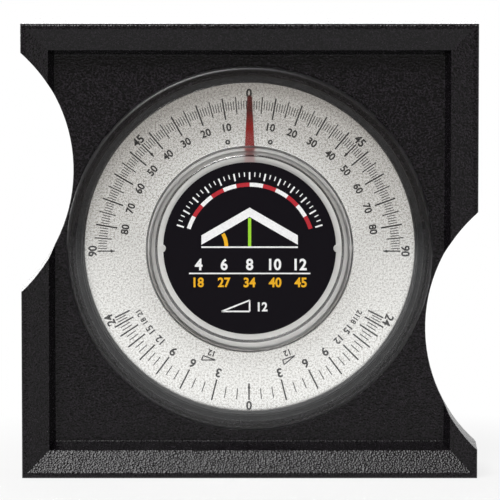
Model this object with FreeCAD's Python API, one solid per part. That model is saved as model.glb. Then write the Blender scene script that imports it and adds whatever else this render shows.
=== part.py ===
import FreeCAD, Part
import math
import os

# Pendulum inclinometer: a square black frame with four flat edges and two round side notches,
# and a round dial capsule clamped between its two halves. A weighted needle swings freely in
# the capsule. The rails of both halves are hollow and closed where they meet.
#
# Row frame: +Z up, the tool stands on its lower rail, the dial faces -Y and +X is to the
# reader's right. The origin is on the ground below the middle of the frame.
# All lengths are in millimetres and all angles in degrees. Every piece is modelled about the
# dial's centre, with y = 0 where the two frame halves meet, and is lifted when it is written.

Vector = FreeCAD.Vector
CENTRE = Vector(0, 0, 0)
DIAL_AXIS = Vector(0, 1, 0)

# ---- Driving dimensions: the capsule, from its middle outwards ----

sight_radius = 53.3          # scale that shows inside the card ring
card_ring_wall = 0.7         # black ring round the card, where it stands on it
card_ring_lip = 0.4          # its thinner front edge, under the lens
bore_clearance = 0.1         # card and card ring inside the housing
housing_wall = 1.5           # housing barrel beside the card
web_clearance = 0.3          # housing barrel inside the frame's hole
clamp_flange_width = 1.6     # housing flange beyond the frame's hole
clamp_flange_thickness = 1.6
clamp_clearance = 0.15       # round the flange
rim_overhang = 2.9           # lens rim beyond the frame's hole
ledge_width = 2.1            # step that the card sits on
cup_wall = 2.0               # housing wall behind the ledge
barrel_overlap = 1.5         # how far the barrel runs on behind the card
cup_round = 1.2              # outer edge of the cup's back
cup_floor_round = 0.6        # inside, where the cup's wall meets its floor
barrel_step_round = 0.3      # where the barrel steps down to the cup
cup_back_rim = 6.0           # flat ring round the shallow recess in the cup's back
cup_back_recess = 0.5
cup_back_boss = 9.0          # radius of the raised middle, over the rear bearing

# ---- Driving dimensions: the capsule, from front to back ----

rim_thickness = 2.5          # lens rim in front of the web
crown_rise = 1.1             # bead round the well in front of the rim
lens_wall = 2.0
well_depth = 4.5             # lens face down to the well's floor
floor_thickness = 1.8        # floor of the well
front_boss_height = 0.4      # round the front bearing
end_play = 0.07              # arbor, at each end
washer_thickness = 0.25
needle_thickness = 0.4
needle_clearance = 0.58      # needle to card
card_thickness = 0.8
head_clearance = 0.5         # rivet heads to card and to housing floor
rivet_head_height = 0.5
carrier_thickness = 0.8
weight_thickness = 3.0
housing_floor = 2.0
back_recess = 1.7            # housing back behind the frame's rear land

# ---- Driving dimensions: the lens ----

rim_round = 1.0
crown_inset = 2.0            # rim edge to the start of the crowned face
well_mouth_radius = 31.6
well_floor_radius = 29.9
well_edge_round = 0.5
well_foot_round = 0.4
bead_width = 0.75            # low raised bead round the mouth of the well
bead_height = 0.3
bead_round = 0.15
hollow_round = 0.3           # corners of the hollow behind the face
rim_hollow_round = 0.15      # its corner beside the rim
ring_lap = 0.15              # lens over the front of the card ring
hollow_taper = 0.1           # the hollow behind the rim narrows this much towards the face
label_inset = 2.1            # label edge to the foot of the well's wall
label_thickness = 0.15
label_key_radius = 1.2       # two studs on the well's floor, left and right of the label
label_key_inset = 0.8        # how far they reach in past the label's edge
label_key_height = 0.3
label_key_clearance = 0.1
front_boss_margin = 1.2      # lens round the front bearing

# ---- Driving dimensions: the pendulum ----

arbor_radius = 1.0
pivot_radius = 0.5
pivot_clearance = 0.04
pivot_gap = 0.3              # pivot end to the blind end of its bearing
pivot_round = 0.15
bearing_end_wall = 0.3       # blind end of a bearing
bearing_wall = 1.3
front_bearing_length = 1.6
rear_bearing_length = 2.4
rear_boss_height = 1.2
rear_boss_margin = 2.4
washer_width = 0.8
fit_clearance = 0.02         # pieces pressed or riveted together

needle_reach = 49.4          # axis to tip
needle_tip_width = 1.5
needle_root_width = 5.8      # on the axis
needle_tail = 12.0
needle_eye_radius = 3.4
hub_spigot_wall = 0.7        # brass inside the needle's eye
hub_flange_wall = 1.6
hub_card_clearance = 0.8     # needle hub inside the card's hole
needle_hub_length = 1.6      # behind the needle

weight_inner_radius = 22.0
weight_outer_radius = 44.0
weight_half_angle = 55.0
weight_round = 1.5
carrier_arm_width = 16.0
carrier_eye_radius = 6.5
carrier_margin = 0.8         # carrier edge inside the weight's edge
carrier_end_inset = 1.3      # the same at the weight's two ends
carrier_window_radius = 4.0
rivet_radius = 1.0
rivet_head_radius = 2.0
rivet_head_round = 0.3
rivet_half_angle = 34.0
carrier_hub_wall = 1.8
carrier_hub_length = 1.9     # behind the carrier

# ---- Driving dimensions: the frame ----

web_thickness = 2.0          # one half of the frame
rail_gap = 3.725             # lens rim to the foot of the rail
wall_run = 1.8               # slope of the rail's inner wall, foot to crest
band_width = 7.0             # sloping face of the rail
band_rise = 3.4
land_width = 1.7             # flat along the outer edge, facing forwards
rail_wall = 2.2              # wall round the hollow of a rail
cavity_round = 0.8
land_round = 0.75
crest_round = 0.5
foot_round = 0.4
parting_chamfer = 0.3        # outer edge where the halves meet

notch_radius = 50.7          # where the frame halves meet
notch_web = 0.8              # web left between lens rim and notch
notch_height = 25.5          # notch centre above or below the dial's centre
notch_draft = 3.3

screw_radius = 1.1
screw_reach = 5.5            # into the front half's post
screw_tip_gap = 0.6
screw_tip_round = 0.5
screw_hole_clearance = 0.15  # round the shank in the rear half
screw_seat = 6.2             # under the head, behind the parting plane
post_wall = 1.2              # round a screw in the hollow rail
counterbore_wall = 0.9
screw_head_radius = 2.0
screw_head_height = 1.5
screw_head_clearance = 0.25
screw_head_round = 0.5
screw_cross_depth = 0.9
screw_cross_width = 0.6
screw_cross_reach = 1.2

cutter_overrun = 1.0         # how far a cutting tool runs past what it cuts
largest_round_share = 0.45   # of the shorter side beside a rounded corner

# ---- Worked out: radii of the capsule ----

card_radius = sight_radius + card_ring_wall
housing_bore = card_radius + bore_clearance
barrel_radius = housing_bore + housing_wall
frame_hole_radius = barrel_radius + web_clearance
clamp_flange_radius = frame_hole_radius + clamp_flange_width
rim_radius = frame_hole_radius + rim_overhang
cup_bore = housing_bore - ledge_width
cup_radius = cup_bore + cup_wall
label_radius = well_floor_radius - label_inset
pivot_bore = pivot_radius + pivot_clearance
bearing_radius = pivot_bore + bearing_wall
washer_radius = pivot_bore + washer_width
hub_spigot_radius = arbor_radius + fit_clearance + hub_spigot_wall
needle_hub_radius = hub_spigot_radius + hub_flange_wall
carrier_hub_radius = hub_spigot_radius + carrier_hub_wall

# ---- Worked out: stations along y, front to back ----

y_web_front = -web_thickness
y_rim_front = y_web_front - rim_thickness
y_crown = y_rim_front - crown_rise
y_well_floor = y_crown + well_depth
y_floor_back = y_well_floor + floor_thickness
y_front_boss = y_floor_back + front_boss_height
y_front_washer = y_front_boss + end_play
y_front_shoulder = y_front_washer + washer_thickness
y_needle_back = y_front_shoulder + needle_thickness
y_card_front = y_needle_back + needle_clearance
y_card_back = y_card_front + card_thickness
y_carrier_front = y_card_back + head_clearance + rivet_head_height
y_carrier_back = y_carrier_front + carrier_thickness
y_weight_back = y_carrier_back + weight_thickness
y_cup_floor = y_weight_back + rivet_head_height + head_clearance
y_cup_back = y_cup_floor + housing_floor
y_rear_boss = y_cup_floor - rear_boss_height
y_rear_washer = y_rear_boss - end_play
y_rear_shoulder = y_rear_washer - washer_thickness
half_depth = y_cup_back + back_recess

# ---- Worked out: the frame ----

rail_foot = rim_radius + rail_gap
rail_crest = rail_foot + wall_run
land_inner = rail_crest + band_width
half_side = land_inner + land_width
crest_depth = half_depth - band_rise
band_slope = band_rise / band_width
band_backing = rail_wall * math.sqrt(1 + band_slope ** 2)
notch_slope = math.tan(math.radians(notch_draft))
notch_reach = rim_radius + notch_web + notch_radius
notch_across = math.sqrt(notch_reach ** 2 - notch_height ** 2)
cavity_inner = rail_foot + rail_wall
cavity_outer = half_side - rail_wall
screw_line = (cavity_inner + cavity_outer) / 2
screw_places = [(-1, -1), (0, -1), (1, -1), (1, 1), (0, 1), (-1, 1)]
post_radius = screw_radius + post_wall
counterbore_radius = screw_head_radius + screw_head_clearance


# ---- Small helpers ----

def rounded_corner(before, corner, after, radius):
    """The two tangent points and the middle of an arc that rounds one corner."""
    way_back = before - corner
    way_on = after - corner
    shorter = min(way_back.Length, way_on.Length)
    way_back.normalize()
    way_on.normalize()
    half_angle = way_back.getAngle(way_on) / 2
    radius = min(radius, largest_round_share * shorter * math.tan(half_angle))
    tangent = radius / math.tan(half_angle)
    bisector = way_back + way_on
    bisector.normalize()
    middle = corner + bisector * (radius / math.sin(half_angle) - radius)
    return corner + way_back * tangent, middle, corner + way_on * tangent


def outline_face(corners):
    """A face in the plane z = 0 from (x, y) or (x, y, round) corners."""
    points = [Vector(corner[0], corner[1], 0) for corner in corners]
    edges = []
    ends = []
    for place, corner in enumerate(corners):
        if len(corner) == 2:
            ends.append((points[place], points[place]))
            continue
        before = points[place - 1]
        after = points[(place + 1) % len(points)]
        start, middle, end = rounded_corner(before, points[place], after, corner[2])
        edges.append(Part.Arc(start, middle, end).toShape())
        ends.append((start, end))
    for place in range(len(points)):
        start = ends[place][1]
        end = ends[(place + 1) % len(points)][0]
        edges.append(Part.LineSegment(start, end).toShape())
    wire = Part.Wire(Part.__sortEdges__(edges))
    return Part.Face(wire)


def lathe(corners):
    """A solid turned about the dial's axis from (radius, y) corners."""
    return outline_face(corners).revolve(CENTRE, DIAL_AXIS, 360)


def disc(radius, y_start, y_end, x=0.0, z=0.0):
    """A round bar along y."""
    return Part.makeCylinder(radius, y_end - y_start, Vector(x, y_start, z), DIAL_AXIS)


def washer(outer_radius, inner_radius, y_start, y_end):
    """A flat ring round the dial's axis."""
    return disc(outer_radius, y_start, y_end).cut(disc(inner_radius, y_start, y_end))


def on_circle(radius, angle):
    """x and z at an angle from straight down."""
    turn = math.radians(angle)
    return radius * math.sin(turn), -radius * math.cos(turn)


def ring_sector(inner_radius, outer_radius, half_angle, y_start, y_end, corner_round):
    """A flat piece of ring, centred below the axis, with its upright corners rounded."""
    inner_left = on_circle(inner_radius, -half_angle)
    inner_right = on_circle(inner_radius, half_angle)
    outer_left = on_circle(outer_radius, -half_angle)
    outer_right = on_circle(outer_radius, half_angle)
    inner_low = on_circle(inner_radius, 0)
    outer_low = on_circle(outer_radius, 0)

    def at(place):
        return Vector(place[0], y_start, place[1])

    edges = [
        Part.Arc(at(inner_left), at(inner_low), at(inner_right)).toShape(),
        Part.LineSegment(at(inner_right), at(outer_right)).toShape(),
        Part.Arc(at(outer_right), at(outer_low), at(outer_left)).toShape(),
        Part.LineSegment(at(outer_left), at(inner_left)).toShape(),
    ]
    plate = Part.Face(Part.Wire(edges)).extrude(Vector(0, y_end - y_start, 0))
    upright = []
    for edge in plate.Edges:
        if math.isclose(abs(edge.tangentAt(edge.FirstParameter).y), 1):
            upright.append(edge)
    return plate.makeFillet(corner_round, upright)


# ---- The frame ----

def band_depth(across):
    """Distance of the sloping band from the parting plane, at a distance from the centre."""
    return crest_depth + (across - rail_crest) * band_slope


def rail_and_web_outline():
    """Section of one half of the frame, from the dial's centre out to the rail."""
    return outline_face([
        (0, 0),
        (0, y_web_front),
        (rail_foot, y_web_front, foot_round),
        (rail_crest, -crest_depth, crest_round),
        (land_inner, -half_depth, crest_round),
        (half_side, -half_depth, land_round),
        (half_side, -parting_chamfer),
        (half_side - parting_chamfer, 0),
    ])


def cavity_outline():
    """Section of the hollow in a rail, open at the parting plane."""
    inner = rail_crest + rail_wall
    return outline_face([
        (cavity_inner, 0),
        (inner, band_backing - band_depth(inner), cavity_round),
        (cavity_outer, band_backing - band_depth(cavity_outer), cavity_round),
        (cavity_outer, 0),
    ])


def mitred_ring(section):
    """Four straight runs of a section round the frame, mitred at the corners."""
    section.translate(Vector(0, 0, -half_side))
    side = section.extrude(Vector(0, 0, 2 * half_side))
    reach = half_side + cutter_overrun
    front = -half_depth - cutter_overrun
    triangle = Part.makePolygon([
        Vector(0, front, 0),
        Vector(reach, front, reach),
        Vector(reach, front, -reach),
        Vector(0, front, 0),
    ])
    wedge = Part.Face(triangle).extrude(Vector(0, half_depth + 2 * cutter_overrun, 0))
    quarter = side.common(wedge)
    quarters = []
    for turn in (90, 180, 270):
        quarters.append(quarter.rotated(CENTRE, DIAL_AXIS, turn))
    return quarter.fuse(quarters).removeSplitter()


def notch_cutters(margin):
    """Two drafted round cutters, high on the left and low on the right, grown by a margin."""
    start_radius = notch_radius + margin - notch_slope * cutter_overrun
    length = half_depth + 2 * cutter_overrun
    end_radius = start_radius + notch_slope * length
    cutters = []
    for side in (-1, 1):
        start = Vector(side * notch_across, cutter_overrun, -side * notch_height)
        cutters.append(Part.makeCone(start_radius, end_radius, length, start, -DIAL_AXIS))
    return cutters


def screw_columns(radius, y_start, y_end):
    """One round bar on the axis of every screw."""
    bars = []
    for across, up in screw_places:
        bars.append(disc(radius, y_start, y_end, across * screw_line, up * screw_line))
    return bars


def frame_half(column_radius):
    """One half of the frame with plain screw columns; the rear half is its mirror image."""
    outside = mitred_ring(rail_and_web_outline())
    hollow = mitred_ring(cavity_outline()).cut(notch_cutters(rail_wall))
    hollow = hollow.cut(screw_columns(column_radius, -half_depth, cutter_overrun))
    rebate_radius = clamp_flange_radius + clamp_clearance
    cutters = notch_cutters(0)
    cutters.append(hollow)
    cutters.append(disc(frame_hole_radius, y_web_front - cutter_overrun, cutter_overrun))
    cutters.append(disc(rebate_radius, -clamp_flange_thickness / 2, cutter_overrun))
    return outside.cut(cutters)


def front_frame():
    """Front half, with a blind screw hole in each post."""
    return frame_half(post_radius).cut(screw_columns(screw_radius, -screw_reach, 0))


def rear_frame():
    """Rear half, with a counterbored screw hole in each post."""
    half = frame_half(counterbore_radius + counterbore_wall).mirror(CENTRE, DIAL_AXIS)
    shank_hole = screw_radius + screw_hole_clearance
    cutters = screw_columns(shank_hole, -cutter_overrun, screw_seat)
    cutters += screw_columns(counterbore_radius, screw_seat, half_depth + cutter_overrun)
    return half.cut(cutters)


def frame_screws():
    """Six cross-head screws, driven from the rear."""
    head_back = screw_seat + screw_head_height
    shank_radius = screw_radius - fit_clearance
    screw = lathe([
        (0, screw_tip_gap - screw_reach),
        (shank_radius, screw_tip_gap - screw_reach, screw_tip_round),
        (shank_radius, screw_seat),
        (screw_head_radius, screw_seat),
        (screw_head_radius, head_back, screw_head_round),
        (0, head_back),
    ])
    for length_x, length_z in ((screw_cross_reach, screw_cross_width / 2),
                               (screw_cross_width / 2, screw_cross_reach)):
        corner = Vector(-length_x, head_back - screw_cross_depth, -length_z)
        depth = screw_cross_depth + cutter_overrun
        screw = screw.cut(Part.makeBox(2 * length_x, depth, 2 * length_z, corner))
    screws = []
    for across, up in screw_places:
        placed = screw.copy()
        placed.translate(Vector(across * screw_line, 0, up * screw_line))
        screws.append(placed)
    return Part.makeCompound(screws)


# ---- The capsule ----

def crown_line(radius):
    """y of the lens's front face at a radius between the bead and the rim."""
    start = rim_radius - crown_inset
    share = (start - radius) / (start - well_mouth_radius)
    return y_rim_front - (crown_rise - bead_height) * share


def label_keys(radius, y_start, y_end):
    """Round bars at the label's left and right edge."""
    across = label_radius + label_key_radius - label_key_inset
    return [disc(radius, y_start, y_end, side * across) for side in (-1, 1)]


def lens():
    """Clear cover: rim, crowned face, bead, and a well that sinks to the label and its two keys."""
    well_back_foot = well_floor_radius + lens_wall
    well_back_mouth = well_mouth_radius + lens_wall
    hollow_radius = card_radius - ring_lap
    hollow_edge = hollow_radius - hollow_taper
    bead_edge = well_mouth_radius + bead_width
    bead_foot = bead_edge + bead_height
    boss_radius = bearing_radius + front_boss_margin
    cover = lathe([
        (0, y_well_floor),
        (well_floor_radius, y_well_floor, well_foot_round),
        (well_mouth_radius, y_crown, well_edge_round),
        (bead_edge, y_crown, bead_round),
        (bead_foot, crown_line(bead_foot), bead_round),
        (rim_radius - crown_inset, y_rim_front),
        (rim_radius, y_rim_front, rim_round),
        (rim_radius, y_web_front),
        (hollow_radius, y_web_front),
        (hollow_edge, crown_line(hollow_edge) + lens_wall, rim_hollow_round),
        (well_back_mouth, crown_line(well_back_mouth) + lens_wall, hollow_round),
        (well_back_foot, y_floor_back, hollow_round),
        (0, y_floor_back),
    ])
    y_floor_middle = y_well_floor + floor_thickness / 2
    boss = disc(boss_radius, y_floor_middle, y_front_boss)
    keys = label_keys(label_key_radius, y_well_floor - label_key_height, y_floor_middle)
    pocket_radius = bearing_radius + fit_clearance
    pocket = disc(pocket_radius, y_front_boss - front_bearing_length, y_front_boss)
    return cover.fuse([boss] + keys).cut(pocket)


def hub_label():
    """Thin round label on the floor of the well, notched for the two keys."""
    y_front = y_well_floor - label_thickness
    cutter_radius = label_key_radius + label_key_clearance
    notches = label_keys(cutter_radius, y_front - cutter_overrun, y_well_floor + cutter_overrun)
    return disc(label_radius, y_front, y_well_floor).cut(notches)


def card_ring():
    """Black ring between the lens rim and the edge of the card, thinner at its front."""
    return lathe([
        (card_radius - card_ring_lip, y_web_front),
        (card_radius, y_web_front),
        (card_radius, y_card_front),
        (sight_radius, y_card_front),
    ])


def dial_card():
    """Scale card, with a hole for the needle's hub."""
    hole_radius = needle_hub_radius + hub_card_clearance
    return washer(card_radius, hole_radius, y_card_front, y_card_back)


def dial_housing():
    """Stepped cup: clamp flange, barrel, ledge for the card, floor and rear bearing boss."""
    y_barrel_end = y_card_back + barrel_overlap
    y_flange = clamp_flange_thickness / 2
    boss_radius = bearing_radius + rear_boss_margin
    cup = lathe([
        (0, y_cup_floor),
        (cup_bore, y_cup_floor, cup_floor_round),
        (cup_bore, y_card_back),
        (housing_bore, y_card_back),
        (housing_bore, y_web_front),
        (barrel_radius, y_web_front),
        (barrel_radius, -y_flange),
        (clamp_flange_radius, -y_flange),
        (clamp_flange_radius, y_flange),
        (barrel_radius, y_flange),
        (barrel_radius, y_barrel_end, barrel_step_round),
        (cup_radius, y_barrel_end, barrel_step_round),
        (cup_radius, y_cup_back, cup_round),
        (0, y_cup_back),
    ])
    boss = disc(boss_radius, y_rear_boss, y_cup_floor + housing_floor / 2)
    pocket_radius = bearing_radius + fit_clearance
    pocket = disc(pocket_radius, y_rear_boss, y_rear_boss + rear_bearing_length)
    recess_start = y_cup_back - cup_back_recess
    recess = washer(cup_radius - cup_back_rim, cup_back_boss, recess_start, half_depth)
    return cup.fuse(boss).cut([pocket, recess])


def front_bearing():
    """Bush in the lens floor, blind at its front end."""
    y_start = y_front_boss - front_bearing_length
    bush = disc(bearing_radius, y_start, y_front_boss)
    return bush.cut(disc(pivot_bore, y_start + bearing_end_wall, y_front_boss))


def rear_bearing():
    """Bush in the housing's boss, blind at its rear end."""
    y_end = y_rear_boss + rear_bearing_length
    bush = disc(bearing_radius, y_rear_boss, y_end)
    return bush.cut(disc(pivot_bore, y_rear_boss, y_end - bearing_end_wall))


# ---- The pendulum ----

def arbor():
    """Shaft with a thin pivot at each end."""
    y_front_tip = y_front_boss - front_bearing_length + bearing_end_wall + pivot_gap
    y_rear_tip = y_rear_boss + rear_bearing_length - bearing_end_wall - pivot_gap
    return lathe([
        (0, y_front_tip),
        (pivot_radius, y_front_tip, pivot_round),
        (pivot_radius, y_front_shoulder),
        (arbor_radius, y_front_shoulder),
        (arbor_radius, y_rear_shoulder),
        (pivot_radius, y_rear_shoulder),
        (pivot_radius, y_rear_tip, pivot_round),
        (0, y_rear_tip),
    ])


def front_washer():
    """Thrust washer in front of the arbor's shoulder."""
    return washer(washer_radius, pivot_bore, y_front_washer, y_front_shoulder)


def rear_washer():
    """Thrust washer behind the arbor's other shoulder."""
    return washer(washer_radius, pivot_bore, y_rear_shoulder, y_rear_washer)


def needle():
    """Tapered pointer with a round eye and a short tail."""
    taper = (needle_root_width - needle_tip_width) / needle_reach
    tail_half = (needle_root_width + taper * needle_tail) / 2
    tip_half = needle_tip_width / 2
    blade = Part.makePolygon([
        Vector(-tail_half, y_front_shoulder, -needle_tail),
        Vector(tail_half, y_front_shoulder, -needle_tail),
        Vector(tip_half, y_front_shoulder, needle_reach - tip_half),
        Vector(0, y_front_shoulder, needle_reach),
        Vector(-tip_half, y_front_shoulder, needle_reach - tip_half),
        Vector(-tail_half, y_front_shoulder, -needle_tail),
    ])
    pointer = Part.Face(blade).extrude(Vector(0, needle_thickness, 0))
    pointer = pointer.fuse(disc(needle_eye_radius, y_front_shoulder, y_needle_back))
    hole = disc(hub_spigot_radius + fit_clearance, y_front_shoulder, y_needle_back)
    return pointer.removeSplitter().cut(hole)


def needle_hub():
    """Brass hub: a spigot in the needle's eye and a flange behind it."""
    y_end = y_needle_back + needle_hub_length
    hub = disc(hub_spigot_radius, y_front_shoulder, y_needle_back)
    hub = hub.fuse(disc(needle_hub_radius, y_needle_back, y_end))
    return hub.cut(disc(arbor_radius + fit_clearance, y_front_shoulder, y_end))


def weight_carrier():
    """Pressed plate from the arbor down to the weight, with a window in its arm."""
    inner = weight_inner_radius + carrier_margin
    outer = weight_outer_radius - carrier_margin
    middle = (inner + outer) / 2
    end_angle = weight_half_angle - math.degrees(carrier_end_inset / outer)
    fan = ring_sector(inner, outer, end_angle, y_carrier_front, y_carrier_back, weight_round)
    corner = Vector(-carrier_arm_width / 2, y_carrier_front, -middle)
    arm = Part.makeBox(carrier_arm_width, carrier_thickness, middle, corner)
    plate = fan.fuse([arm, disc(carrier_eye_radius, y_carrier_front, y_carrier_back)])
    plate = plate.removeSplitter()
    window_height = -(carrier_eye_radius + inner) / 2
    cutters = [
        disc(hub_spigot_radius + fit_clearance, y_carrier_front, y_carrier_back),
        disc(carrier_window_radius, y_carrier_front, y_carrier_back, 0, window_height),
    ]
    return plate.cut(cutters + rivet_holes(y_carrier_front, y_carrier_back))


def rivet_holes(y_start, y_end):
    """Cutters for the two rivets."""
    holes = []
    for side in (-1, 1):
        x, z = on_circle((weight_inner_radius + weight_outer_radius) / 2, side * rivet_half_angle)
        holes.append(disc(rivet_radius + fit_clearance, y_start, y_end, x, z))
    return holes


def pendulum_weight():
    """Heavy piece of ring that hangs below the axis, behind the carrier."""
    block = ring_sector(weight_inner_radius, weight_outer_radius, weight_half_angle,
                        y_carrier_back, y_weight_back, weight_round)
    return block.cut(rivet_holes(y_carrier_back, y_weight_back))


def weight_rivets():
    """Two rivets through the carrier and the weight."""
    rivet = lathe([
        (0, y_carrier_front - rivet_head_height),
        (rivet_head_radius, y_carrier_front - rivet_head_height, rivet_head_round),
        (rivet_head_radius, y_carrier_front),
        (rivet_radius, y_carrier_front),
        (rivet_radius, y_weight_back),
        (rivet_head_radius, y_weight_back),
        (rivet_head_radius, y_weight_back + rivet_head_height, rivet_head_round),
        (0, y_weight_back + rivet_head_height),
    ])
    rivets = []
    for side in (-1, 1):
        x, z = on_circle((weight_inner_radius + weight_outer_radius) / 2, side * rivet_half_angle)
        placed = rivet.copy()
        placed.translate(Vector(x, 0, z))
        rivets.append(placed)
    return Part.makeCompound(rivets)


def carrier_hub():
    """Brass hub: a spigot in the carrier's eye and a flange behind it."""
    y_end = y_carrier_back + carrier_hub_length
    hub = disc(hub_spigot_radius, y_carrier_front, y_carrier_back)
    hub = hub.fuse(disc(carrier_hub_radius, y_carrier_back, y_end))
    return hub.cut(disc(arbor_radius + fit_clearance, y_carrier_front, y_end))


# ---- Write every piece ----

pieces = [
    front_frame, rear_frame, frame_screws,
    lens, hub_label, card_ring, dial_card, dial_housing, front_bearing, rear_bearing,
    arbor, front_washer, rear_washer, needle, needle_hub,
    weight_carrier, pendulum_weight, weight_rivets, carrier_hub,
]

os.makedirs("parts", exist_ok=True)
for make_piece in pieces:
    shape = make_piece()
    shape.translate(Vector(0, 0, half_side))
    shape.exportStep("parts/" + make_piece.__name__ + ".step")
    print(make_piece.__name__, len(shape.Solids), "solids", round(shape.Volume, 1), "mm3",
          "valid" if shape.isValid() else "NOT VALID")
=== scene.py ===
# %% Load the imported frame
import math

import bmesh
import bpy
from mathutils import Matrix, Vector


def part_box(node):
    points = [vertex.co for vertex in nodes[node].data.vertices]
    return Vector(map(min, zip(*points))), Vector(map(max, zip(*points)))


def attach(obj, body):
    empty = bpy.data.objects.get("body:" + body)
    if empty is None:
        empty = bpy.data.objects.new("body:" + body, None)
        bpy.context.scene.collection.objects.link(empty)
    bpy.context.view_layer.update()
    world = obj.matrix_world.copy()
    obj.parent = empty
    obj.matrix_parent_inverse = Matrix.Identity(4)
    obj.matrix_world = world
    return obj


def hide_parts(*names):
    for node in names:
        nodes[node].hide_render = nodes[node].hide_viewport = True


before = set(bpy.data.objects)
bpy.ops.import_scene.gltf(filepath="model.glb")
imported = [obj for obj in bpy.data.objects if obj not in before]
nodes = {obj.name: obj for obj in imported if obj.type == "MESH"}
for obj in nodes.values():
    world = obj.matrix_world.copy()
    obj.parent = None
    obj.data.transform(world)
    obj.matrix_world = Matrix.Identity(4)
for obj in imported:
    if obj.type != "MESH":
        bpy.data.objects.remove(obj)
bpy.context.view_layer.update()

# %% [markdown]
# # A dial inclinometer
# The CAD model already holds every solid part of the tool: a square frame in two halves, a
# round capsule between them, and a weighted needle that swings in the capsule. This script
# gives the parts their finish, and adds what only shows on a close look: the print on the
# scale card, the design on the middle label and the polished curves of the clear lens.
#
# Everything is in metres, as Blender wants it, but a tool maker thinks in millimetres. So the
# sizes below are written in millimetres and multiplied by MM where a mesh is made.

# %% Units, and where the dial is
MM = 0.001


def node_front(name):
    """y of a node's front face, in metres."""
    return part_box(name)[0].y


def node_radius(name):
    """Half the width of a round node, in metres."""
    low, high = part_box(name)
    return (high.x - low.x) / 2


lens_low, lens_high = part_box("lens")
dial_centre = (lens_low + lens_high) / 2
dial_height = dial_centre.z
print("The dial's centre is", round(dial_height / MM, 3), "mm above the ground")

# %% [markdown]
# ## The camera
# The tool stands upright and is looked at from straight in front and a little above, from far
# away through a long lens, so that its square frame stays square in the picture. A long focal
# length and a large distance do this: the picture's width at the dial is what sets the focal
# length.

# %% Camera
camera_distance = 1.7
camera_elevation = math.radians(6.1)
picture_width = 160.9 * MM           # how much of the scene fits across the picture, at the dial
look_at = Vector((0.12 * MM, 0, dial_height - 0.65 * MM))

camera_data = bpy.data.cameras.new("camera")
camera_data.lens = camera_data.sensor_width * camera_distance / picture_width
camera = bpy.data.objects.new("camera", camera_data)
bpy.context.scene.collection.objects.link(camera)
view_back = Vector((0, -math.cos(camera_elevation), math.sin(camera_elevation)))
camera.location = look_at + view_back * camera_distance
camera.rotation_euler = (-view_back).to_track_quat("-Z", "Y").to_euler()
bpy.context.scene.camera = camera
bpy.context.scene.view_settings.view_transform = "Standard"
print("Focal length:", round(camera_data.lens), "mm")

# %% [markdown]
# ## Node helpers
# A material is a small graph of nodes. Three short helpers keep the later cells easy to read:
# one starts a material with its Principled shader, one adds a node and sets its inputs, and one
# gives a piece its material. A pattern is made from Object coordinates, which don't move when
# the piece's modifiers run and don't depend on the camera.

# %% Node helpers
def new_material(name, **sockets):
    """A material with a Principled shader; sockets are its input values, with _ for a space."""
    material = bpy.data.materials.new(name)
    material.use_nodes = True
    shader = material.node_tree.nodes["Principled BSDF"]
    for socket, value in sockets.items():
        shader.inputs[socket.replace("_", " ")].default_value = value
    return material, shader


def add_node(material, kind, settings=None, **inputs):
    """A node of one kind; settings are its own fields, and inputs its input values."""
    node = material.node_tree.nodes.new("ShaderNode" + kind)
    for field, value in (settings or {}).items():
        setattr(node, field, value)
    for socket, value in inputs.items():
        node.inputs[socket.replace("_", " ")].default_value = value
    return node


def join(material, source, target):
    """A wire from an output socket to an input socket."""
    material.node_tree.links.new(source, target)


def ramp(material, stops):
    """A colour ramp with (place, grey or colour) stops."""
    node = add_node(material, "ValToRGB")
    elements = node.color_ramp.elements
    while len(elements) < len(stops):
        elements.new(0.5)
    for element, (place, value) in zip(elements, stops):
        element.position = place
        element.color = (*value, 1) if isinstance(value, tuple) else (value, value, value, 1)
    return node


def grain(material, scale, detail=3.0, crispness=0.5):
    """Noise over the piece's Object coordinates; scale is lumps in a metre."""
    place = add_node(material, "TexCoord")
    noise = add_node(material, "TexNoise", Scale=scale, Detail=detail, Roughness=crispness)
    join(material, place.outputs["Object"], noise.inputs["Vector"])
    return noise


def bump(material, shader, height, distance, strength=1.0):
    """Small relief on the surface, from a height socket; distance is its depth in metres."""
    node = add_node(material, "Bump", Strength=strength, Distance=distance)
    join(material, height, node.inputs["Height"])
    join(material, node.outputs["Normal"], shader.inputs["Normal"])
    return node


def finish_node(name, material):
    """Gives a CAD node its material, in every slot."""
    mesh = nodes[name].data
    mesh.materials.clear()
    mesh.materials.append(material)


# %% [markdown]
# ## Stage and light
# The tool is shown as in a small photo tent: a white table that fades out a short way in front
# of it, a big soft lamp above, a white wall behind and a dim, slightly warm room in front. The
# dim room matters. Black plastic, satin metal and clear acrylic show little colour of their own,
# so what they look like is what they mirror: the white table below and not the dark room above.
#
# The background is white because the table and the world show plain white to the camera, and
# not because more light falls on them. Close to the tool the table keeps a part of its real
# shading, so that the tool still stands on a soft shadow.

# %% Table
table_half_width = 2.5
table_front = 0.85
table_back = 3.0
fade_start = 0.58                    # in front of the tool, where the table starts to darken
shadow_share = 0.18                  # how much of the real shading shows beside the tool
shadow_reach = 0.16                  # and how far from the tool it has died away

table_mesh = bmesh.new()
bmesh.ops.create_grid(table_mesh, x_segments=1, y_segments=1, size=0.5)
bmesh.ops.scale(table_mesh, vec=(2 * table_half_width, table_front + table_back, 1), verts=table_mesh.verts)
bmesh.ops.translate(table_mesh, vec=(0, (table_back - table_front) / 2, 0), verts=table_mesh.verts)
table_data = bpy.data.meshes.new("table")
table_mesh.to_mesh(table_data)
table_mesh.free()
table = bpy.data.objects.new("table", table_data)
bpy.context.scene.collection.objects.link(table)

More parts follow.
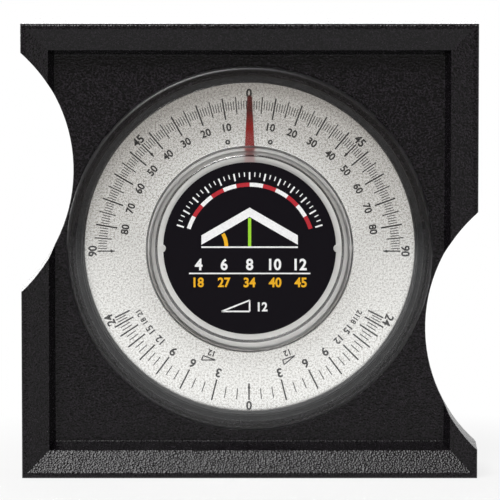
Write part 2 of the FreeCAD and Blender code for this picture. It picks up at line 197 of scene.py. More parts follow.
table_white, table_shader = new_material("table_white", Base_Color=(0.6, 0.6, 0.6, 1), Roughness=0.9)
rays = add_node(table_white, "LightPath")
table_place = add_node(table_white, "TexCoord")
table_parts = add_node(table_white, "SeparateXYZ")
join(table_white, table_place.outputs["Object"], table_parts.inputs[0])

fade = add_node(table_white, "MapRange", From_Min=-table_front, From_Max=-fade_start, To_Min=0.08, To_Max=1.0)
join(table_white, table_parts.outputs["Y"], fade.inputs["Value"])
whiteness = add_node(table_white, "Math", {"operation": "MAXIMUM"})
join(table_white, fade.outputs["Result"], whiteness.inputs[0])
join(table_white, rays.outputs["Is Camera Ray"], whiteness.inputs[1])
glow = add_node(table_white, "Emission", Color=(1, 1, 1, 1))
join(table_white, whiteness.outputs[0], glow.inputs["Strength"])

seen_in_gloss = add_node(table_white, "Math", {"operation": "MAXIMUM"})
join(table_white, rays.outputs["Is Glossy Ray"], seen_in_gloss.inputs[0])
join(table_white, rays.outputs["Is Transmission Ray"], seen_in_gloss.inputs[1])
seen = add_node(table_white, "Math", {"operation": "MAXIMUM"})
join(table_white, seen_in_gloss.outputs[0], seen.inputs[0])
join(table_white, rays.outputs["Is Camera Ray"], seen.inputs[1])

distance = add_node(table_white, "VectorMath", {"operation": "LENGTH"})
join(table_white, table_place.outputs["Object"], distance.inputs[0])
glow_share = add_node(table_white, "MapRange", From_Min=shadow_reach / 2, From_Max=shadow_reach,
                      To_Min=1 - shadow_share, To_Max=1.0)
join(table_white, distance.outputs["Value"], glow_share.inputs["Value"])
share = add_node(table_white, "Math", {"operation": "MULTIPLY"})
join(table_white, seen.outputs[0], share.inputs[0])
join(table_white, glow_share.outputs["Result"], share.inputs[1])

blend = add_node(table_white, "MixShader")
join(table_white, share.outputs[0], blend.inputs[0])
join(table_white, table_shader.outputs[0], blend.inputs[1])
join(table_white, glow.outputs[0], blend.inputs[2])
join(table_white, blend.outputs[0], table_white.node_tree.nodes["Material Output"].inputs["Surface"])
table_data.materials.append(table_white)
print("Table:", round(table_front * 1000), "mm in front of the tool")

# %% [markdown]
# The room is a ramp over the direction that a ray leaves in: dim towards the front, white
# towards the back. It lights the tool weakly, but a polished face mirrors it at its full
# strength, as it would mirror a white wall. The camera itself sees plain white all round.

# %% World
room_stops = ((0.0, (0.29, 0.27, 0.25)), (0.25, (0.31, 0.29, 0.27)),
              (0.45, (0.7, 0.69, 0.68)), (0.55, (1, 1, 1)))
room_light_share = 0.35

world = bpy.data.worlds.new("studio")
world.use_nodes = True
bpy.context.scene.world = world
room = world.node_tree.nodes["Background"]
wires = world.node_tree.links


def add_world_node(kind, operation=None):
    """A node in the world's tree."""
    node = world.node_tree.nodes.new("ShaderNode" + kind)
    if operation:
        node.operation = operation
    return node


direction = add_world_node("TexCoord")
parts = add_world_node("SeparateXYZ")
wires.new(direction.outputs["Generated"], parts.inputs[0])
front_to_back = add_world_node("MapRange")
front_to_back.inputs["From Min"].default_value = -1.0
wires.new(parts.outputs["Y"], front_to_back.inputs["Value"])
room_tone = add_world_node("ValToRGB")
tone_elements = room_tone.color_ramp.elements
while len(tone_elements) < len(room_stops):
    tone_elements.new(0.5)
for element, (place, colour) in zip(tone_elements, room_stops):
    element.position = place
    element.color = (*colour, 1)
wires.new(front_to_back.outputs["Result"], room_tone.inputs["Fac"])
wires.new(room_tone.outputs["Color"], room.inputs["Color"])

world_rays = add_world_node("LightPath")
mirrored = add_world_node("Math", "MAXIMUM")
wires.new(world_rays.outputs["Is Glossy Ray"], mirrored.inputs[0])
wires.new(world_rays.outputs["Is Transmission Ray"], mirrored.inputs[1])
room_strength = add_world_node("MapRange")
room_strength.inputs["To Min"].default_value = room_light_share
wires.new(mirrored.outputs[0], room_strength.inputs["Value"])
wires.new(room_strength.outputs["Result"], room.inputs["Strength"])

white_wall = add_world_node("Background")
white_wall.inputs["Color"].default_value = (1, 1, 1, 1)
world_mix = add_world_node("MixShader")
wires.new(world_rays.outputs["Is Camera Ray"], world_mix.inputs[0])
wires.new(room.outputs[0], world_mix.inputs[1])
wires.new(white_wall.outputs[0], world_mix.inputs[2])
wires.new(world_mix.outputs[0], world.node_tree.nodes["World Output"].inputs["Surface"])


# %% Lamps
def softbox(name, place, width, height, power):
    """A soft rectangular lamp that faces the dial."""
    data = bpy.data.lights.new(name, "AREA")
    data.shape = "RECTANGLE"
    data.size = width
    data.size_y = height
    data.energy = power
    lamp = bpy.data.objects.new(name, data)
    lamp.location = place
    lamp.rotation_euler = (dial_centre - lamp.location).to_track_quat("-Z", "Y").to_euler()
    bpy.context.scene.collection.objects.link(lamp)
    return lamp


softbox("top_front_lamp", Vector((-0.35, -0.8, 0.9)), 0.7, 0.45, 16.5)
softbox("left_lamp", Vector((-1.2, -0.7, 0.35)), 0.4, 0.7, 0.5)
softbox("right_lamp", Vector((1.2, -0.7, 0.35)), 0.4, 0.7, 1.1)
softbox("back_lamp", Vector((-0.5, 1.3, 0.32)), 1.8, 0.6, 7.0)
print("Lamps:", [lamp.name for lamp in bpy.data.lights])

# %% [markdown]
# ## Mesh helpers
# Round pieces are turned on a lathe: a profile of a few corners is spun about the dial's axis.
# bmesh.ops.spin does that. A full spin with use_merge closes the ring, and corners on the axis
# fall together into one point when doubles are removed. Sharp corners are then rounded with
# bmesh.ops.bevel, because on a clear or polished piece it is the rounded edge that catches the
# light.

# %% Mesh helpers
def finish_piece(name, mesh_edit, material, body, smooth_angle=30.0):
    """Turns an edited mesh into a piece that rides on a body."""
    bmesh.ops.recalc_face_normals(mesh_edit, faces=mesh_edit.faces)
    data = bpy.data.meshes.new(name)
    mesh_edit.to_mesh(data)
    mesh_edit.free()
    data.shade_smooth()
    data.set_sharp_from_angle(angle=math.radians(smooth_angle))
    data.materials.append(material)
    piece = bpy.data.objects.new(name, data)
    bpy.context.scene.collection.objects.link(piece)
    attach(piece, body)
    print(name, len(data.polygons), "faces")
    return piece


def turned(corners, steps, rounds=None):
    """A bmesh turned about the dial's axis from (radius, y) corners in millimetres.

    rounds maps a corner's number to the radius of its rounding."""
    lathe = bmesh.new()
    ring = [lathe.verts.new((radius * MM, y * MM, 0)) for radius, y in corners]
    for number, vert in enumerate(ring[:-1]):
        lathe.edges.new((vert, ring[number + 1]))
    if corners[0][0] and corners[-1][0]:
        lathe.edges.new((ring[-1], ring[0]))
    for number, radius in sorted((rounds or {}).items()):
        bmesh.ops.bevel(lathe, geom=[ring[number]], offset=round_setback(corners, number, radius) * MM,
                        offset_type="OFFSET", segments=6, profile=0.5, affect="VERTICES", material=-1)
    bmesh.ops.spin(lathe, geom=lathe.verts[:] + lathe.edges[:], cent=(0, 0, 0), axis=(0, 1, 0),
                   angle=2 * math.pi, steps=steps, use_merge=True)
    bmesh.ops.remove_doubles(lathe, verts=lathe.verts, dist=0.5e-6)
    bmesh.ops.translate(lathe, vec=(0, 0, dial_height), verts=lathe.verts)
    return lathe


def round_setback(corners, number, radius):
    """How far a rounding of that radius starts from its corner."""
    corner = Vector(corners[number])
    before = (Vector(corners[number - 1]) - corner).normalized()
    after = (Vector(corners[(number + 1) % len(corners)]) - corner).normalized()
    return radius / math.tan(before.angle(after) / 2)


# %% [markdown]
# ## The moulded frame
# Both halves of the frame are black plastic from a mould with a spark-eroded surface. The grain
# is fine and even, about half a millimetre across, and it breaks the light of the lamp into a
# mottle of lighter and darker specks on the sloping faces. Small cells drive a shallow bump, and
# a noise of the same size changes the roughness and the blackness a little.

# %% Frame plastic
def moulded_plastic(name, colour, roughness, grain_size, grain_depth, gloss, tones=(0.7, 1.5)):
    """Black moulded plastic with a spark-eroded grain.

    tones are its darkest and its lightest specks, as shares of its colour."""
    material, shader = new_material(name, Base_Color=(*colour, 1), Roughness=roughness,
                                    Specular_IOR_Level=gloss)
    fine = grain(material, 1 / grain_size, detail=2.0, crispness=0.6)
    cells = add_node(material, "TexVoronoi", Scale=1 / grain_size)
    join(material, fine.inputs["Vector"].links[0].from_socket, cells.inputs["Vector"])
    shine = add_node(material, "MapRange", From_Min=0.3, From_Max=0.7,
                     To_Min=roughness - 0.08, To_Max=roughness + 0.12)
    join(material, fine.outputs["Fac"], shine.inputs["Value"])
    join(material, shine.outputs["Result"], shader.inputs["Roughness"])
    dark = tuple(tones[0] * part for part in colour)
    light = tuple(tones[1] * part for part in colour)
    tone = ramp(material, ((0.46, dark), (0.6, light)))
    join(material, fine.outputs["Fac"], tone.inputs["Fac"])
    join(material, tone.outputs["Color"], shader.inputs["Base Color"])
    bump(material, shader, cells.outputs["Distance"], grain_depth)
    return material


frame_plastic = moulded_plastic("frame_plastic", (0.0018, 0.0014, 0.0019), 0.18, 0.6 * MM, 0.1 * MM, 0.23,
                                (0.3, 6.0))
finish_node("front_frame", frame_plastic)
finish_node("rear_frame", frame_plastic)

housing_plastic = moulded_plastic("housing_plastic", (0.016, 0.016, 0.017), 0.35, 0.6 * MM, 0.008 * MM,
                                  0.14)
finish_node("dial_housing", housing_plastic)

ring_plastic = moulded_plastic("ring_plastic", (0.025, 0.025, 0.026), 0.6, 0.6 * MM, 0.004 * MM, 0.0)
finish_node("card_ring", ring_plastic)
print("Plastics:", frame_plastic.name, housing_plastic.name, ring_plastic.name)


# %% [markdown]
# ## Metal parts
# The screws are zinc plated, the arbor is ground steel, the hubs and bearings are turned brass
# and the weight is die cast zinc. They share one recipe: a metallic shader whose roughness is
# stirred by a noise, because no plated or turned surface is evenly bright.

# %% Metals
def worn_metal(name, colour, roughness, lump_size):
    """Metal with an unevenly bright surface."""
    material, shader = new_material(name, Base_Color=(*colour, 1), Metallic=1.0, Roughness=roughness)
    lumps = grain(material, 1 / lump_size)
    shine = add_node(material, "MapRange", To_Min=roughness - 0.1, To_Max=roughness + 0.15)
    join(material, lumps.outputs["Fac"], shine.inputs["Value"])
    join(material, shine.outputs["Result"], shader.inputs["Roughness"])
    return material


finish_node("frame_screws", worn_metal("screw_zinc", (0.3, 0.3, 0.29), 0.35, 0.8 * MM))
turned_brass = worn_metal("turned_brass", (0.68, 0.48, 0.2), 0.25, 0.5 * MM)
for name in ("front_bearing", "rear_bearing", "needle_hub", "carrier_hub"):
    finish_node(name, turned_brass)
finish_node("arbor", worn_metal("ground_steel", (0.6, 0.6, 0.6), 0.2, 0.5 * MM))
finish_node("weight_carrier", worn_metal("pressed_steel", (0.5, 0.5, 0.5), 0.4, 2 * MM))
finish_node("pendulum_weight", worn_metal("cast_zinc", (0.4, 0.4, 0.41), 0.5, 1.2 * MM))
finish_node("weight_rivets", worn_metal("rivet_aluminium", (0.75, 0.75, 0.75), 0.35, 0.8 * MM))

washer_nylon, washer_shader = new_material("washer_nylon", Base_Color=(0.8, 0.8, 0.77, 1), Roughness=0.4)
finish_node("front_washer", washer_nylon)
finish_node("rear_washer", washer_nylon)

# %% [markdown]
# ## The scale card
# The card is aluminium sheet with a satin face. Seen close, it is full of tiny light and dark
# specks, and it mirrors the white table softly, so its lower half looks brighter than its upper
# half. A metallic shader with a broad highlight does both.

# %% Card finish
satin_card, card_shader = new_material("satin_card", Base_Color=(0.8, 0.77, 0.74, 1), Metallic=0.85,
                                       Roughness=0.2)
specks = grain(satin_card, 1 / (0.6 * MM), detail=3.0)
speck_tone = ramp(satin_card, ((0.38, (0.72, 0.695, 0.66)), (0.54, (1.0, 0.985, 0.96))))
join(satin_card, specks.outputs["Fac"], speck_tone.inputs["Fac"])
join(satin_card, speck_tone.outputs["Color"], card_shader.inputs["Base Color"])
bump(satin_card, card_shader, specks.outputs["Fac"], 0.015 * MM)
finish_node("dial_card", satin_card)

# %% [markdown]
# ## The print on the card
# The upper half reads degrees from level to plumb, both ways. The lower half reads roof pitch:
# a rise of so many inches in a run of twelve, so its lines stand at the arctangent of rise over
# twelve and crowd together as the roof gets steeper. Both scales are black print.
#
# Each line is a very thin plate on the card. One cube per line, scaled and turned into place,
# is enough, and all lines of one scale share one mesh. The printed scale sits a little low on
# its card, as on many cheap dials, so it has a centre of its own.

# %% Print: lines
print_drop = 1.2                     # the printed scale's centre below the dial's
ink_thickness = 0.02
card_front = node_front("dial_card") / MM
print_centre = Vector((-0.2 * MM, (card_front - ink_thickness / 2) * MM, dial_height - print_drop * MM))

printing_ink, ink_shader = new_material("printing_ink", Base_Color=(0.007, 0.006, 0.007, 1), Roughness=0.5,
                                        Specular_IOR_Level=0.15)
ink_wear = grain(printing_ink, 1 / (0.3 * MM))
ink_tone = ramp(printing_ink, ((0.3, 0.003), (0.8, 0.02)))
join(printing_ink, ink_wear.outputs["Fac"], ink_tone.inputs["Fac"])
join(printing_ink, ink_tone.outputs["Color"], ink_shader.inputs["Base Color"])


def turn_to(angle):
    """Turns a shape that points up to an angle in degrees, clockwise from the top as it is read."""
    return Matrix.Rotation(math.radians(angle), 4, "Y")


def print_bar(scale_mesh, angle, inner, outer, width):
    """One printed line between two radii, in millimetres."""
    size = Matrix.Diagonal((width * MM, ink_thickness * MM, (outer - inner) * MM, 1))
    out = Matrix.Translation((0, 0, (inner + outer) / 2 * MM))
    place = Matrix.Translation(print_centre) @ turn_to(angle) @ out @ size
    bmesh.ops.create_cube(scale_mesh, size=1, matrix=place)


def print_diamond(scale_mesh, angle, radius, width, height):
    """A small diamond on a line, which marks the reading that matters most."""
    size = Matrix.Diagonal((width * MM, ink_thickness * MM, height * MM, 1))
    quarter = Matrix.Rotation(math.radians(45), 4, "Y")
    square = Matrix.Diagonal((math.sqrt(0.5), 1, math.sqrt(0.5), 1))
    out = Matrix.Translation((0, 0, radius * MM))
    place = Matrix.Translation(print_centre) @ turn_to(angle) @ out @ size @ quarter @ square
    bmesh.ops.create_cube(scale_mesh, size=1, matrix=place)


degree_lines = bmesh.new()
for degree in range(-90, 91):
    if degree % 45 == 0:
        print_bar(degree_lines, degree, 43.2, 48.8, 0.42)
        print_diamond(degree_lines, degree, 44.2, 1.0, 1.6)
    elif degree % 10 == 0:
        print_bar(degree_lines, degree, 43.0, 50.1, 0.48)
    elif degree % 5 == 0:
        print_bar(degree_lines, degree, 44.4, 50.0, 0.34)
    else:
        print_bar(degree_lines, degree, 45.8, 48.6, 0.24)
finish_piece("degree_lines", degree_lines, printing_ink, "frame")

pitch_lines = bmesh.new()
for inches in range(-24, 25):
    angle = 180 + math.degrees(math.atan(inches / 12))
    if inches == 0:
        print_bar(pitch_lines, angle, 42.9, 48.4, 0.5)
        print_diamond(pitch_lines, angle, 44.3, 1.0, 1.6)
    elif abs(inches) == 24:
        print_bar(pitch_lines, angle, 42.9, 48.4, 0.5)
    elif inches % 3 == 0:
        print_bar(pitch_lines, angle, 42.9, 50.0, 0.5)
    else:
        print_bar(pitch_lines, angle, 44.7, 48.3, 0.3)
finish_piece("pitch_lines", pitch_lines, printing_ink, "frame")

# %% [markdown]
# The numbers are text. A text curve is made a mesh first, and only then moved to its place on
# the dial, so that every piece ends with its place in its mesh. They stand with their feet
# towards the dial's middle all the way round, so the lower ones are upside down until the tool
# is turned over.


# %% Print: numbers
digit_weight = 0.028                 # how much the font's strokes are fattened
digit_narrowing = 0.95


def text_mesh(text, height):
    """A number as a thin plate in the XY plane, centred; height is that of its digits."""
    curve = bpy.data.curves.new("number", "FONT")
    curve.body = text
    curve.resolution_u = 4
    curve.extrude = 0.5
    curve.offset = digit_weight
    holder = bpy.data.objects.new("number", curve)
    flat = bpy.data.meshes.new_from_object(holder)
    digits = bmesh.new()
    digits.from_mesh(flat)
    tops = [vert.co.y for vert in digits.verts]
    sides = [vert.co.x for vert in digits.verts]
    grow = height / (max(tops) - min(tops)) * MM
    centre = Vector(((max(sides) + min(sides)) / 2, (max(tops) + min(tops)) / 2, 0))
    bmesh.ops.translate(digits, vec=-centre, verts=digits.verts)
    bmesh.ops.scale(digits, vec=(grow * digit_narrowing, grow, ink_thickness * MM), verts=digits.verts)
    bpy.data.meshes.remove(flat)
    bpy.data.objects.remove(holder)
    bpy.data.curves.remove(curve)
    return digits


def take_in(sheet, digits):
    """Moves the faces of one bmesh into another."""
    loose = bpy.data.meshes.new("digits")
    digits.to_mesh(loose)
    digits.free()
    sheet.from_mesh(loose)
    bpy.data.meshes.remove(loose)


def print_number(scale_mesh, text, angle, radius, height):
    """A printed number on the card, whose middle is at a radius."""
    digits = text_mesh(text, height)
    stand_up = Matrix.Rotation(math.radians(90), 4, "X")
    out = Matrix.Translation((0, 0, radius * MM))
    place = Matrix.Translation(print_centre) @ turn_to(angle) @ out @ stand_up
    bmesh.ops.transform(digits, matrix=place, verts=digits.verts)
    take_in(scale_mesh, digits)


degree_numbers = bmesh.new()
print_number(degree_numbers, "0", 0, 51.1, 3.0)
for degree in (-90, -45, 45, 90):
    print_number(degree_numbers, str(abs(degree)), degree, 50.45, 2.9)
for degree in range(10, 90, 10):
    for side in (-1, 1):
        print_number(degree_numbers, str(degree), side * degree, 40.4, 2.6)
finish_piece("degree_numbers", degree_numbers, printing_ink, "frame")

pitch_numbers = bmesh.new()
print_number(pitch_numbers, "0", 180, 50.25, 3.0)
pitch_sizes = {3: 3.1, 6: 3.1, 9: 3.1, 12: 2.4, 15: 2.4, 18: 1.9, 21: 1.9}
for side in (-1, 1):
    print_number(pitch_numbers, "24", 180 + side * math.degrees(math.atan(2)), 50.25, 2.9)
    for inches, height in pitch_sizes.items():
        angle = 180 + side * math.degrees(math.atan(inches / 12))
        print_number(pitch_numbers, str(inches), angle, 40.6, height)
finish_piece("pitch_numbers", pitch_numbers, printing_ink, "frame")

# %% [markdown]
# Two marks tell the scales apart: a degree sign on each side of the needle, and below a small
# right triangle with a 12 under its base, which stands for a run of twelve.

# %% Print: unit marks
unit_radius = 35.6
unit_spread = 20.3                   # angle from straight down to each triangle

unit_marks = bmesh.new()
for side in (-1, 1):
    print_number(unit_marks, "°", side * 11.0, unit_radius, 1.7)
    print_number(unit_marks, "12", 180 + side * unit_spread, unit_radius - 0.6, 2.0)
    for start, end in (((-2.1, 0), (2.1, 0)), ((2.1, 0), (2.1, 1.6)), ((2.1, 1.6), (-2.1, 0))):
        run = Vector(end) - Vector(start)
        middle = (Vector(start) + Vector(end)) / 2
        size = Matrix.Diagonal((run.length * MM, ink_thickness * MM, 0.4 * MM, 1))
        lean = Matrix.Rotation(-math.atan2(run.y, run.x), 4, "Y")
        out = Matrix.Translation((middle.x * MM, 0, (unit_radius + 1.1 + middle.y) * MM))
        place = Matrix.Translation(print_centre) @ turn_to(180 + side * unit_spread) @ out @ lean @ size
        bmesh.ops.create_cube(unit_marks, size=1, matrix=place)
finish_piece("unit_marks", unit_marks, printing_ink, "frame")

# %% [markdown]
# ## The clear lens
# The lens is one moulding of clear acrylic. Its rim stands on the frame, its face rises gently
# towards the middle, and there it drops into a round well with polished walls. The walls bend
# the light, so they show as bright and dark rings round the label. Some of the dark is painted:
# near-black rings of painted shade at the well's foot, at the hollow's edge and in a seam on the
# face, and a grey tint that darkens the rounding of the rim.
#
# The CAD solid has the same shape, but its facets would show as kinks in those rings. So the
# lens is turned again here with many more steps, and stands in for the CAD node.
#
# The lens bends what is seen through it, but Cycles doesn't follow lamp light through glass to
# the card. So for shadow and diffuse rays the glass is simply transparent.

# %% Lens
def bounds_mm(name):
    """A node's lowest and highest corner about the dial's centre, in millimetres."""
    low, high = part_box(name)
    shift = Vector((0, 0, dial_height))
    return (low - shift) / MM, (high - shift) / MM


def acrylic(name, roughness, colour=(0.99, 0.995, 0.995, 1), clearness=1.0):
    """Clear acrylic that bends what is seen through it and lets lamp light pass."""
    material, shader = new_material(name, Base_Color=colour, Roughness=roughness,
                                    IOR=1.49, Transmission_Weight=clearness)
    lens_rays = add_node(material, "LightPath")
    from_inside = add_node(material, "Math", {"operation": "GREATER_THAN"})
    from_inside.inputs[1].default_value = 1.5
    join(material, lens_rays.outputs["Transmission Depth"], from_inside.inputs[0])
    from_card = add_node(material, "Math", {"operation": "MULTIPLY"})
    join(material, from_inside.outputs[0], from_card.inputs[0])
    join(material, lens_rays.outputs["Is Glossy Ray"], from_card.inputs[1])
    lamp_ray = add_node(material, "Math", {"operation": "MAXIMUM"})
    join(material, lens_rays.outputs["Is Shadow Ray"], lamp_ray.inputs[0])
    join(material, lens_rays.outputs["Is Diffuse Ray"], lamp_ray.inputs[1])
    either = add_node(material, "Math", {"operation": "MAXIMUM"})
    join(material, lamp_ray.outputs[0], either.inputs[0])
    join(material, from_card.outputs[0], either.inputs[1])
    let_through = add_node(material, "BsdfTransparent", Color=(0.985, 0.99, 0.99, 1))
    blend = add_node(material, "MixShader")
    join(material, either.outputs[0], blend.inputs[0])
    join(material, shader.outputs[0], blend.inputs[1])
    join(material, let_through.outputs[0], blend.inputs[2])
    join(material, blend.outputs[0], material.node_tree.nodes["Material Output"].inputs["Surface"])
    return material


clear_acrylic = acrylic("clear_acrylic", 0.0)
milky_acrylic = acrylic("milky_acrylic", 0.3, (0.8, 0.8, 0.79, 1), 0.85)
frosted_acrylic = acrylic("frosted_acrylic", 0.3, (0.85, 0.85, 0.86, 1))
# Near-black acrylic paints thin dark lines of shade on the clear lens.
painted_shade_acrylic = acrylic("painted_shade_acrylic", 0.2, (0.03, 0.03, 0.032, 1))
# For the rim's rounding: its roughness is a real satin finish, and its grey tint is painted shade that
# darkens it and dims its glint.
painted_grey_rim_acrylic = acrylic("painted_grey_rim_acrylic", 0.35, (0.5, 0.5, 0.51, 1))
floor_acrylic = acrylic("floor_acrylic", 0.3, (0.75, 0.75, 0.74, 1), 0.75)

lens_front = lens_low.y / MM
lens_rim = node_radius("lens") / MM
ring_low, ring_high = bounds_mm("card_ring")
web_front = ring_low.y
boss_back = lens_high.y / MM
hollow_radius = ring_high.x - 0.15
hollow_taper = 0.1
lens_wall = 2.0
rim_front = web_front - 2.5
crown_start = lens_rim - 2.0
painted_seam_width = 0.6                     # width of the painted dark line where the crowned face meets the rim, on a flat strip
mouth_radius = 31.6
foot_radius = 29.9
floor_ring = node_radius("hub_label") / MM - 0.4    # the milky ring of floor beside the label starts here
line_share = 0.3                     # how far up the well's wall the painted dark line at its foot reaches
wall_line = foot_radius + (mouth_radius - foot_radius) * line_share
bead_width = 0.75                    # low raised bead round the mouth of the well
bead_height = 0.3
well_floor = bounds_mm("hub_label")[1].y
floor_back = boss_back - 0.4


def face_at(radius):
    """y of the lens's crowned face at a radius."""
    share = (crown_start - radius) / (crown_start - mouth_radius)
    return rim_front + (lens_front + bead_height - rim_front) * share


hollow_edge = hollow_radius - hollow_taper
bead_radius = mouth_radius + bead_width
back_mouth = mouth_radius + lens_wall - 0.3
back_foot = foot_radius + lens_wall
lens_corners = (
    (0, well_floor),
    (floor_ring, well_floor),
    (foot_radius, well_floor),
    (wall_line, well_floor + (lens_front - well_floor) * line_share),
    (mouth_radius, lens_front),
    (bead_radius, lens_front),
    (bead_radius + bead_height, face_at(bead_radius + bead_height)),
    (crown_start, rim_front),
    (crown_start + painted_seam_width, rim_front),
    (lens_rim, rim_front),
    (lens_rim, web_front),
    (hollow_radius, web_front),
    (hollow_edge, face_at(hollow_edge) + lens_wall),
    (back_mouth, face_at(back_mouth) + lens_wall),
    (back_foot, floor_back),
    (0, floor_back),
)
lens_rounds = {2: 0.4, 4: 0.5, 5: 0.15, 6: 0.15, 9: 1.0, 12: 0.15, 13: 0.3, 14: 0.3}
lens_piece = finish_piece("clear_lens", turned(lens_corners, 256, lens_rounds), clear_acrylic,
                          "frame")
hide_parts("lens")

for material in (milky_acrylic, frosted_acrylic, painted_shade_acrylic, painted_grey_rim_acrylic, floor_acrylic):
    lens_piece.data.materials.append(material)
# Slot 3, the near-black acrylic, paints dark lines of shade at the foot of the well's wall, round the
# hollow's edge and at the seam.
ring_finishes = ((floor_ring, 29.55, 5), (29.55, wall_line, 3), (wall_line, 31.35, 1), (31.35, 32.8, 2),
                 (hollow_edge - 0.2, hollow_radius, 3), (crown_start, crown_start + painted_seam_width, 3),
                 (lens_rim - 1.0, lens_rim, 4))
# Slot 4, the grey acrylic, is painted shade on the rounding of the rim.
for face in lens_piece.data.polygons:
    reach = math.hypot(face.center.x, face.center.z - dial_height) / MM
    for inner, outer, slot in ring_finishes:
        if inner < reach < outer and face.center.y < (well_floor + 0.05) * MM:
            face.material_index = slot

# %% [markdown]
# Two round studs stand on the floor of the well, left and right of the label, whose edge is
# notched for them. They keep the label from turning. In the CAD model they are one with the lens.
# Here they are two short cylinders of acrylic with rounded front edges, set down on the floor.

# %% Label keys
key_radius = 1.2
key_height = 0.3
key_inset = 0.8
key_round = 0.15
key_across = node_radius("hub_label") / MM + key_radius - key_inset

label_keys = bmesh.new()
for side in (-1, 1):
    stand = Matrix.Rotation(math.radians(90), 4, "X")
    middle = Matrix.Translation((side * key_across * MM, (well_floor - key_height / 2) * MM, dial_height))
    bmesh.ops.create_cone(label_keys, cap_ends=True, segments=48, radius1=key_radius * MM,
                          radius2=key_radius * MM, depth=key_height * MM, matrix=middle @ stand)
front_edges = [edge for edge in label_keys.edges
               if all(vert.co.y < (well_floor - key_height / 2) * MM for vert in edge.verts)]
bmesh.ops.bevel(label_keys, geom=front_edges, offset=key_round * MM, offset_type="OFFSET", segments=3,
                profile=0.5, affect="EDGES", material=-1)
finish_piece("label_keys", label_keys, floor_acrylic, "frame")

# %% [markdown]
# ## The needle
# The needle is a strip of clear red plastic, so its shader is part red body and part red filter.
# It looks darker where it lies over the print, partly through the filter and partly by painted
# shade: a ramp along its length darkens the body of its outer end.

# %% Needle
needle_red, needle_shader = new_material("needle_red", Base_Color=(0.25, 0.004, 0.002, 1), Roughness=0.4,
                                         Specular_IOR_Level=0.05)
needle_place = add_node(needle_red, "TexCoord")
needle_parts = add_node(needle_red, "SeparateXYZ")
join(needle_red, needle_place.outputs["Object"], needle_parts.inputs[0])
# Painted shade: the red body darkens from 38 to 46 mm out from the dial's centre, over the printed scale.
along = add_node(needle_red, "MapRange", From_Min=dial_height + 38 * MM, From_Max=dial_height + 46 * MM)
join(needle_red, needle_parts.outputs["Z"], along.inputs["Value"])
needle_painted_dark_end = ramp(needle_red, ((0.1, (0.25, 0.004, 0.002)), (0.75, (0.07, 0.002, 0.001))))
join(needle_red, along.outputs["Result"], needle_painted_dark_end.inputs["Fac"])
join(needle_red, needle_painted_dark_end.outputs["Color"], needle_shader.inputs["Base Color"])
red_filter = add_node(needle_red, "BsdfTransparent", Color=(0.6, 0.01, 0.005, 1))
filter_share = add_node(needle_red, "MixShader", Fac=0.3)
join(needle_red, needle_shader.outputs[0], filter_share.inputs[1])
join(needle_red, red_filter.outputs[0], filter_share.inputs[2])
join(needle_red, filter_share.outputs[0], needle_red.node_tree.nodes["Material Output"].inputs["Surface"])
finish_node("needle", needle_red)

# %% [markdown]
# ## The label
# A round satin black label fills the floor of the well. Its print is a small crib for the two
# scales: a protractor arc, a roof in section with its slope angle, and a table of whole-inch
# roof pitches over the degrees that they make.

# %% Label
label_black, label_shader = new_material("label_black", Base_Color=(0.005, 0.004, 0.006, 1),
                                         Roughness=0.35, Specular_IOR_Level=0.06)
finish_node("hub_label", label_black)

label_front = node_front("hub_label") / MM
label_ink_y = (label_front - ink_thickness / 2) * MM


def label_ink(name, colour):
    """Printing ink on the label, a little uneven."""
    material, shader = new_material(name, Base_Color=(*colour, 1), Roughness=0.5, Specular_IOR_Level=0.2)
    patches = grain(material, 1 / (0.5 * MM))
    weak = tuple(0.86 * part for part in colour)
    tone = ramp(material, ((0.3, weak), (0.7, colour)))
    join(material, patches.outputs["Fac"], tone.inputs["Fac"])
    join(material, tone.outputs["Color"], shader.inputs["Base Color"])
    return material


ink_white = label_ink("label_white", (0.82, 0.82, 0.82))
ink_yellow = label_ink("label_yellow", (0.80, 0.42, 0.015))
ink_green = label_ink("label_green", (0.30, 0.62, 0.03))
ink_red = label_ink("label_red", (0.42, 0.02, 0.03))


def label_place(across, up):
    """A place on the label's face, in millimetres about the dial's centre."""
    return Matrix.Translation((across * MM, label_ink_y, dial_height + up * MM))


def label_bar(sheet, start, end, width):
    """A straight printed bar between two (across, up) points in millimetres."""
    start, end = Vector(start), Vector(end)
    run = end - start
    middle = (start + end) / 2
    turn = Matrix.Rotation(-math.atan2(run.y, run.x), 4, "Y")
    size = Matrix.Diagonal((run.length * MM, ink_thickness * MM, width * MM, 1))
    bmesh.ops.create_cube(sheet, size=1, matrix=label_place(*middle) @ turn @ size)


def label_plate(sheet, corners):
    """A flat printed shape from (across, up) corners in millimetres."""
    back = (label_front - label_ink_y / MM) * MM
    ring = [sheet.verts.new(label_place(*corner).translation + Vector((0, back, 0))) for corner in corners]
    face = sheet.faces.new(ring)
    raised = bmesh.ops.extrude_face_region(sheet, geom=[face])
    moved = [part for part in raised["geom"] if isinstance(part, bmesh.types.BMVert)]
    bmesh.ops.translate(sheet, vec=(0, -ink_thickness * MM, 0), verts=moved)


def label_number(sheet, text, across, up, height):
    """A number on the label; height is that of its digits."""
    digits = text_mesh(text, height)
    stand_up = Matrix.Rotation(math.radians(90), 4, "X")
    bmesh.ops.transform(digits, matrix=label_place(across, up) @ stand_up, verts=digits.verts)
    take_in(sheet, digits)


# %% Label: protractor and roof
arc_radius = 24.6
band_radius = 20.6
band_width = 1.3
block_angle = 12                     # each block of the red and white band

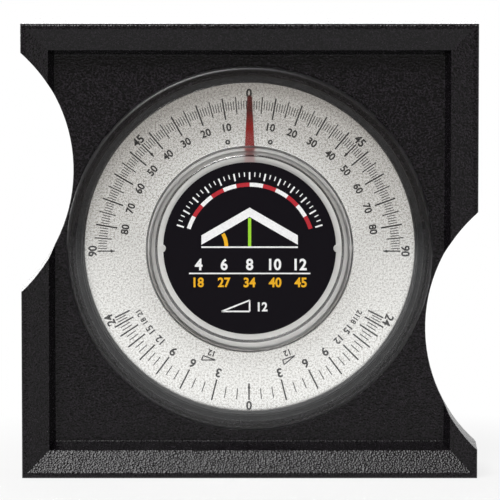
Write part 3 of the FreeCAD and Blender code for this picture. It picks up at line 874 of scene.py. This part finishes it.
white_print = bmesh.new()
red_print = bmesh.new()
for degree in range(-72, 73, 4):
    long_tick = degree % block_angle == 0
    inner = arc_radius - (2.4 if long_tick else 1.4)
    direction = Vector((math.sin(math.radians(degree)), math.cos(math.radians(degree))))
    label_bar(white_print, direction * inner, direction * arc_radius, 0.5 if long_tick else 0.32)
for degree in range(-66, 67, block_angle):
    sheet = red_print if (degree + 66) // block_angle % 2 else white_print
    for piece in range(-4, 5, 4):
        near = math.radians(degree + piece - 2)
        far = math.radians(degree + piece + 2)
        label_bar(sheet, band_radius * Vector((math.sin(near), math.cos(near))),
                  band_radius * Vector((math.sin(far), math.cos(far))), band_width)

roof_run = 15.5
roof_rise = 9.0
eaves_height = 4.2
rafter_width = 2.6
ridge = (0, eaves_height + roof_rise)
slope = math.atan2(roof_rise, roof_run)
rafter_drop = rafter_width / math.cos(slope)
label_plate(white_print, ((-roof_run, eaves_height), ridge, (roof_run, eaves_height),
                          (roof_run, eaves_height - rafter_drop), (0, ridge[1] - rafter_drop),
                          (-roof_run, eaves_height - rafter_drop)))
label_bar(white_print, (-roof_run, 0.4), (roof_run, 0.4), 0.5)
finish_piece("label_roof", white_print, ink_white, "frame")
finish_piece("label_band", red_print, ink_red, "frame")

green_print = bmesh.new()
label_bar(green_print, (0, 0.65), (0, ridge[1] - rafter_drop - 0.4), 1.0)
finish_piece("label_rise", green_print, ink_green, "frame")

yellow_print = bmesh.new()
arc_steps = 8
angle_arc = [radius * Vector((math.cos(slope * step / arc_steps), math.sin(slope * step / arc_steps)))
             for radius, order in ((7.4, 1), (8.6, -1)) for step in range(arc_steps + 1)[::order]]
label_plate(yellow_print, [Vector((-roof_run, 0.7)) + corner for corner in angle_arc])
finish_piece("label_angle", yellow_print, ink_yellow, "frame")
print("The drawn roof slopes", round(math.degrees(slope)), "degrees")

# %% Label: pitch table
table_pitches = (4, 6, 8, 10, 12)
column_gap = 8.2
pitch_row = -5.2
degree_row = -11.0
rule_width = 39.0
triangle_base = 9.0
triangle_rise = 3.6
triangle_foot = -20.4

white_row = bmesh.new()
yellow_row = bmesh.new()
for column, inches in enumerate(table_pitches):
    across = (column - (len(table_pitches) - 1) / 2) * column_gap
    degrees = round(math.degrees(math.atan2(inches, 12)))
    label_number(white_row, str(inches), across, pitch_row, 3.8)
    label_number(yellow_row, str(degrees), across, degree_row, 3.2)
rule = (pitch_row + degree_row) / 2
label_bar(white_row, (-rule_width / 2, rule), (rule_width / 2, rule), 0.45)
triangle = ((-triangle_base, triangle_foot), (0, triangle_foot), (0, triangle_foot + triangle_rise))
for start, end in zip(triangle, triangle[1:] + triangle[:1]):
    label_bar(white_row, start, end, 0.5)
label_number(white_row, "12", 4.2, triangle_foot + 1.5, 3.0)
finish_piece("label_pitches", white_row, ink_white, "frame")
finish_piece("label_degrees", yellow_row, ink_yellow, "frame")
